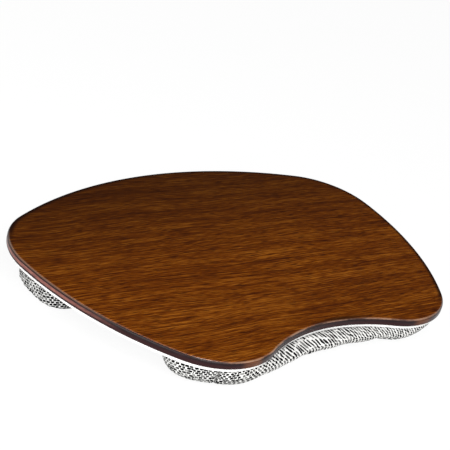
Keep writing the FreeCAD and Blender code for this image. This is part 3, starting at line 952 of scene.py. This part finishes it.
def hollow_between(left, right, radius):
    """The hollow circle in front of two circles that touches both."""
    apart = Vector(right[:2]) - Vector(left[:2])
    first, second = radius + left[2], radius + right[2]
    along = (first**2 - second**2 + apart.length_squared) / (2 * apart.length)
    unit = apart.normalized()
    centre = Vector(left[:2]) + unit * along + Vector((unit.y, -unit.x)) * (first**2 - along**2) ** 0.5
    return (*centre, -radius)


def front_outline(left_lobe, right_lobe, hollow, corner, wall):
    """Two lobes with a hollow between them, closed by a straight inner wall; sizes in millimetres."""
    right = inner_corner(right_lobe, wall - corner, corner)
    left = mirrored(inner_corner(mirrored(left_lobe), wall - corner, corner))
    circles = [hollow_between(left_lobe, right_lobe, hollow), right_lobe, right, left, left_lobe]
    return Outline(MM * np.array(circles))


def four_points(front_x, front_y, back_x, back_y):
    """A pair of points in front and a pair behind, anticlockwise from the front left."""
    return [(-front_x, front_y), (front_x, front_y), (back_x, back_y), (-back_x, back_y)]


def rear_circles():
    side, rear_corner, back = drawn_in(REAR_INSET, SIDE, REAR_CORNER, BACK)
    corner = inner_corner(side, REAR_WALL_Y + REAR_CORNER_INSIDE, REAR_CORNER_INSIDE)
    right = [corner, side, rear_corner]
    return [*right, back, *[mirrored(c) for c in reversed(right)]]


def deck_cloth():
    """The cloth stretched flat under the white panel, its edge turned back in a hem."""
    hem_floor = DECK_FLOOR - HEM_THICK
    profile = [
        (DECK_INSET + HEM + HEM_THICK, DECK_FLOOR),
        (DECK_INSET + HEM, hem_floor),
        (DECK_INSET + HEM_THICK, hem_floor),
        (DECK_INSET, (hem_floor + PANEL_FLOOR) / 2),
        (DECK_INSET + HEM_THICK, PANEL_FLOOR),
    ]
    made = plate("deck_cloth_sheet", profile)
    mesh = made.data
    lay_out(mesh, np.array([mesh.vertices[loop.vertex_index].co[:2] for loop in mesh.loops]))
    return made


COVER_NODES = ("left_end", "right_end", "inner_wall", "base", "fill")


def make_bolster(bolster, cloth, outer_node, seed):
    """Sews the cover, stuffs it, tucks its seams, gives it its finish and hides the solids it stands for."""
    made = bolster.sewn()
    stuff(made)
    divide(made)
    tuck_seams(made, seed)
    front_or_rear = bolster.name.removesuffix("_cover")
    dress(made, cloth, "dash_cloth", *[f"{front_or_rear}_{part}" for part in (*COVER_NODES, outer_node)])


cloth_finish = dashed_cloth()
front = Bolster(
    "front_bolster_cover",
    front_outline(*FRONT_BELLY_FORM),
    front_outline(*FRONT_FOOT_FORM),
    corners=four_points(198 * MM, -165 * MM, 182.6 * MM, FRONT_WALL_Y),
    seams=four_points(FRONT_SEAM_X, -183 * MM, FRONT_SEAM_X, FRONT_WALL_Y),
    belly=FRONT_BELLY,
    roundness=1.6,
    cut=radians(4.6),
    drawn=0.55,
    arched=True,
)
rear = Bolster(
    "rear_bolster_cover",
    Outline(rear_circles()),
    Outline(drawn_in(REAR_ROLL, *rear_circles())),
    corners=four_points(226 * MM, REAR_WALL_Y, 242 * MM, 113 * MM),
    seams=four_points(REAR_SEAM_X, REAR_WALL_Y, REAR_SEAM_X, 141 * MM),
    belly=REAR_BELLY,
    roundness=2.0,
    cut=radians(14),
)
sheet = dress(deck_cloth(), cloth_finish, "dash_cloth", "deck_cloth")
x, y = Outline(drawn_in(DECK_INSET - HEM, *TRAY.circles)).edge.T
make_bolster(front, cloth_finish, "face", seed=4)
make_bolster(rear, cloth_finish, "back", seed=9)


# ------------------------------------------------------------------ the stage
FLOOR_HALF = 12.0
FLOOR_WHITE = 1.055  # strength of the floor's plain white
GLOW = 0.86  # share of the floor that shows plain white
AMBIENT = 0.33
# Each lamp's name, place, width and power.
LAMPS = [
    ("key_lamp", (-0.70, -1.35, 1.05), 1.2, 26.0),
    ("top_lamp", (-0.15, -0.55, 2.2), 0.7, 8.0),
    ("left_lamp", (-1.6, -0.35, 0.45), 1.0, 12.5),
]
SENSOR, LENS = 36.0, 125.28  # millimetres
CAMERA_PLACE = Vector((-1.27424, -1.14440, 0.94307))
CAMERA_AIM = Vector((0.02645, 0.05841, 0.050))
CAMERA_ROLL = radians(16.44)


def lay_floor():
    """A wide pale floor that shows white but keeps the object's shadow."""
    mesh = bpy.data.meshes.new("floor")
    corners = [(FLOOR_HALF * x, FLOOR_HALF * y, 0) for x, y in ((-1, -1), (1, -1), (1, 1), (-1, 1))]
    mesh.from_pydata(corners, [], [(0, 1, 2, 3)])
    floor = bpy.data.objects.new("floor", mesh)
    bpy.context.collection.objects.link(floor)
    pale = Finish("floor_white", Base_Color=(0.9, 0.9, 0.9, 1.0), Roughness=0.9, Specular_IOR_Level=0.1)
    glow = pale.node("Emission", values={"Color": (1, 1, 1, 1), "Strength": FLOOR_WHITE})
    matt = Wire(pale, pale.shader.outputs[0])
    shown = pale.node("MixShader", values={0: pale.looked_at() * GLOW, 1: matt, 2: glow})
    pale.put(pale.tree.nodes["Material Output"].inputs["Surface"], shown)
    mesh.materials.append(pale.material)


def surround():
    """White all round where it is looked at, and a soft even light."""
    world = bpy.data.worlds.new("studio")
    world.use_nodes = True
    bpy.context.scene.world = world
    nodes = Nodes(world.node_tree)
    background = nodes.tree.nodes["Background"]
    nodes.put(background.inputs["Color"], (1, 1, 1, 1))
    nodes.put(background.inputs["Strength"], nodes.looked_at() * (1 - AMBIENT) + AMBIENT)


def hang_lamps():
    """Soft round lamps that face the object."""
    for name, place, width, power in LAMPS:
        data = bpy.data.lights.new(name, "AREA")
        data.shape, data.size, data.energy = "DISK", width, power
        lamp = bpy.data.objects.new(name, data)
        lamp.location = place
        lamp.rotation_euler = (-Vector(place)).to_track_quat("-Z", "Y").to_euler()
        bpy.context.collection.objects.link(lamp)


def set_camera():
    """The viewing angle, from the user's left and a little above, rolled about its axis."""
    data = bpy.data.cameras.new("camera")
    data.sensor_width, data.lens = SENSOR, LENS
    made = bpy.data.objects.new("camera", data)
    ahead = (CAMERA_AIM - CAMERA_PLACE).normalized()
    right = ahead.cross(Vector((0, 0, 1))).normalized()
    look = Matrix((right, right.cross(ahead), -ahead)).transposed().to_4x4()
    made.matrix_world = Matrix.Translation(CAMERA_PLACE) @ look @ Matrix.Rotation(CAMERA_ROLL, 4, "Z")
    bpy.context.collection.objects.link(made)
    bpy.context.scene.camera = made


lay_floor()
surround()
hang_lamps()
set_camera()
bpy.context.scene.view_settings.view_transform = "Standard"
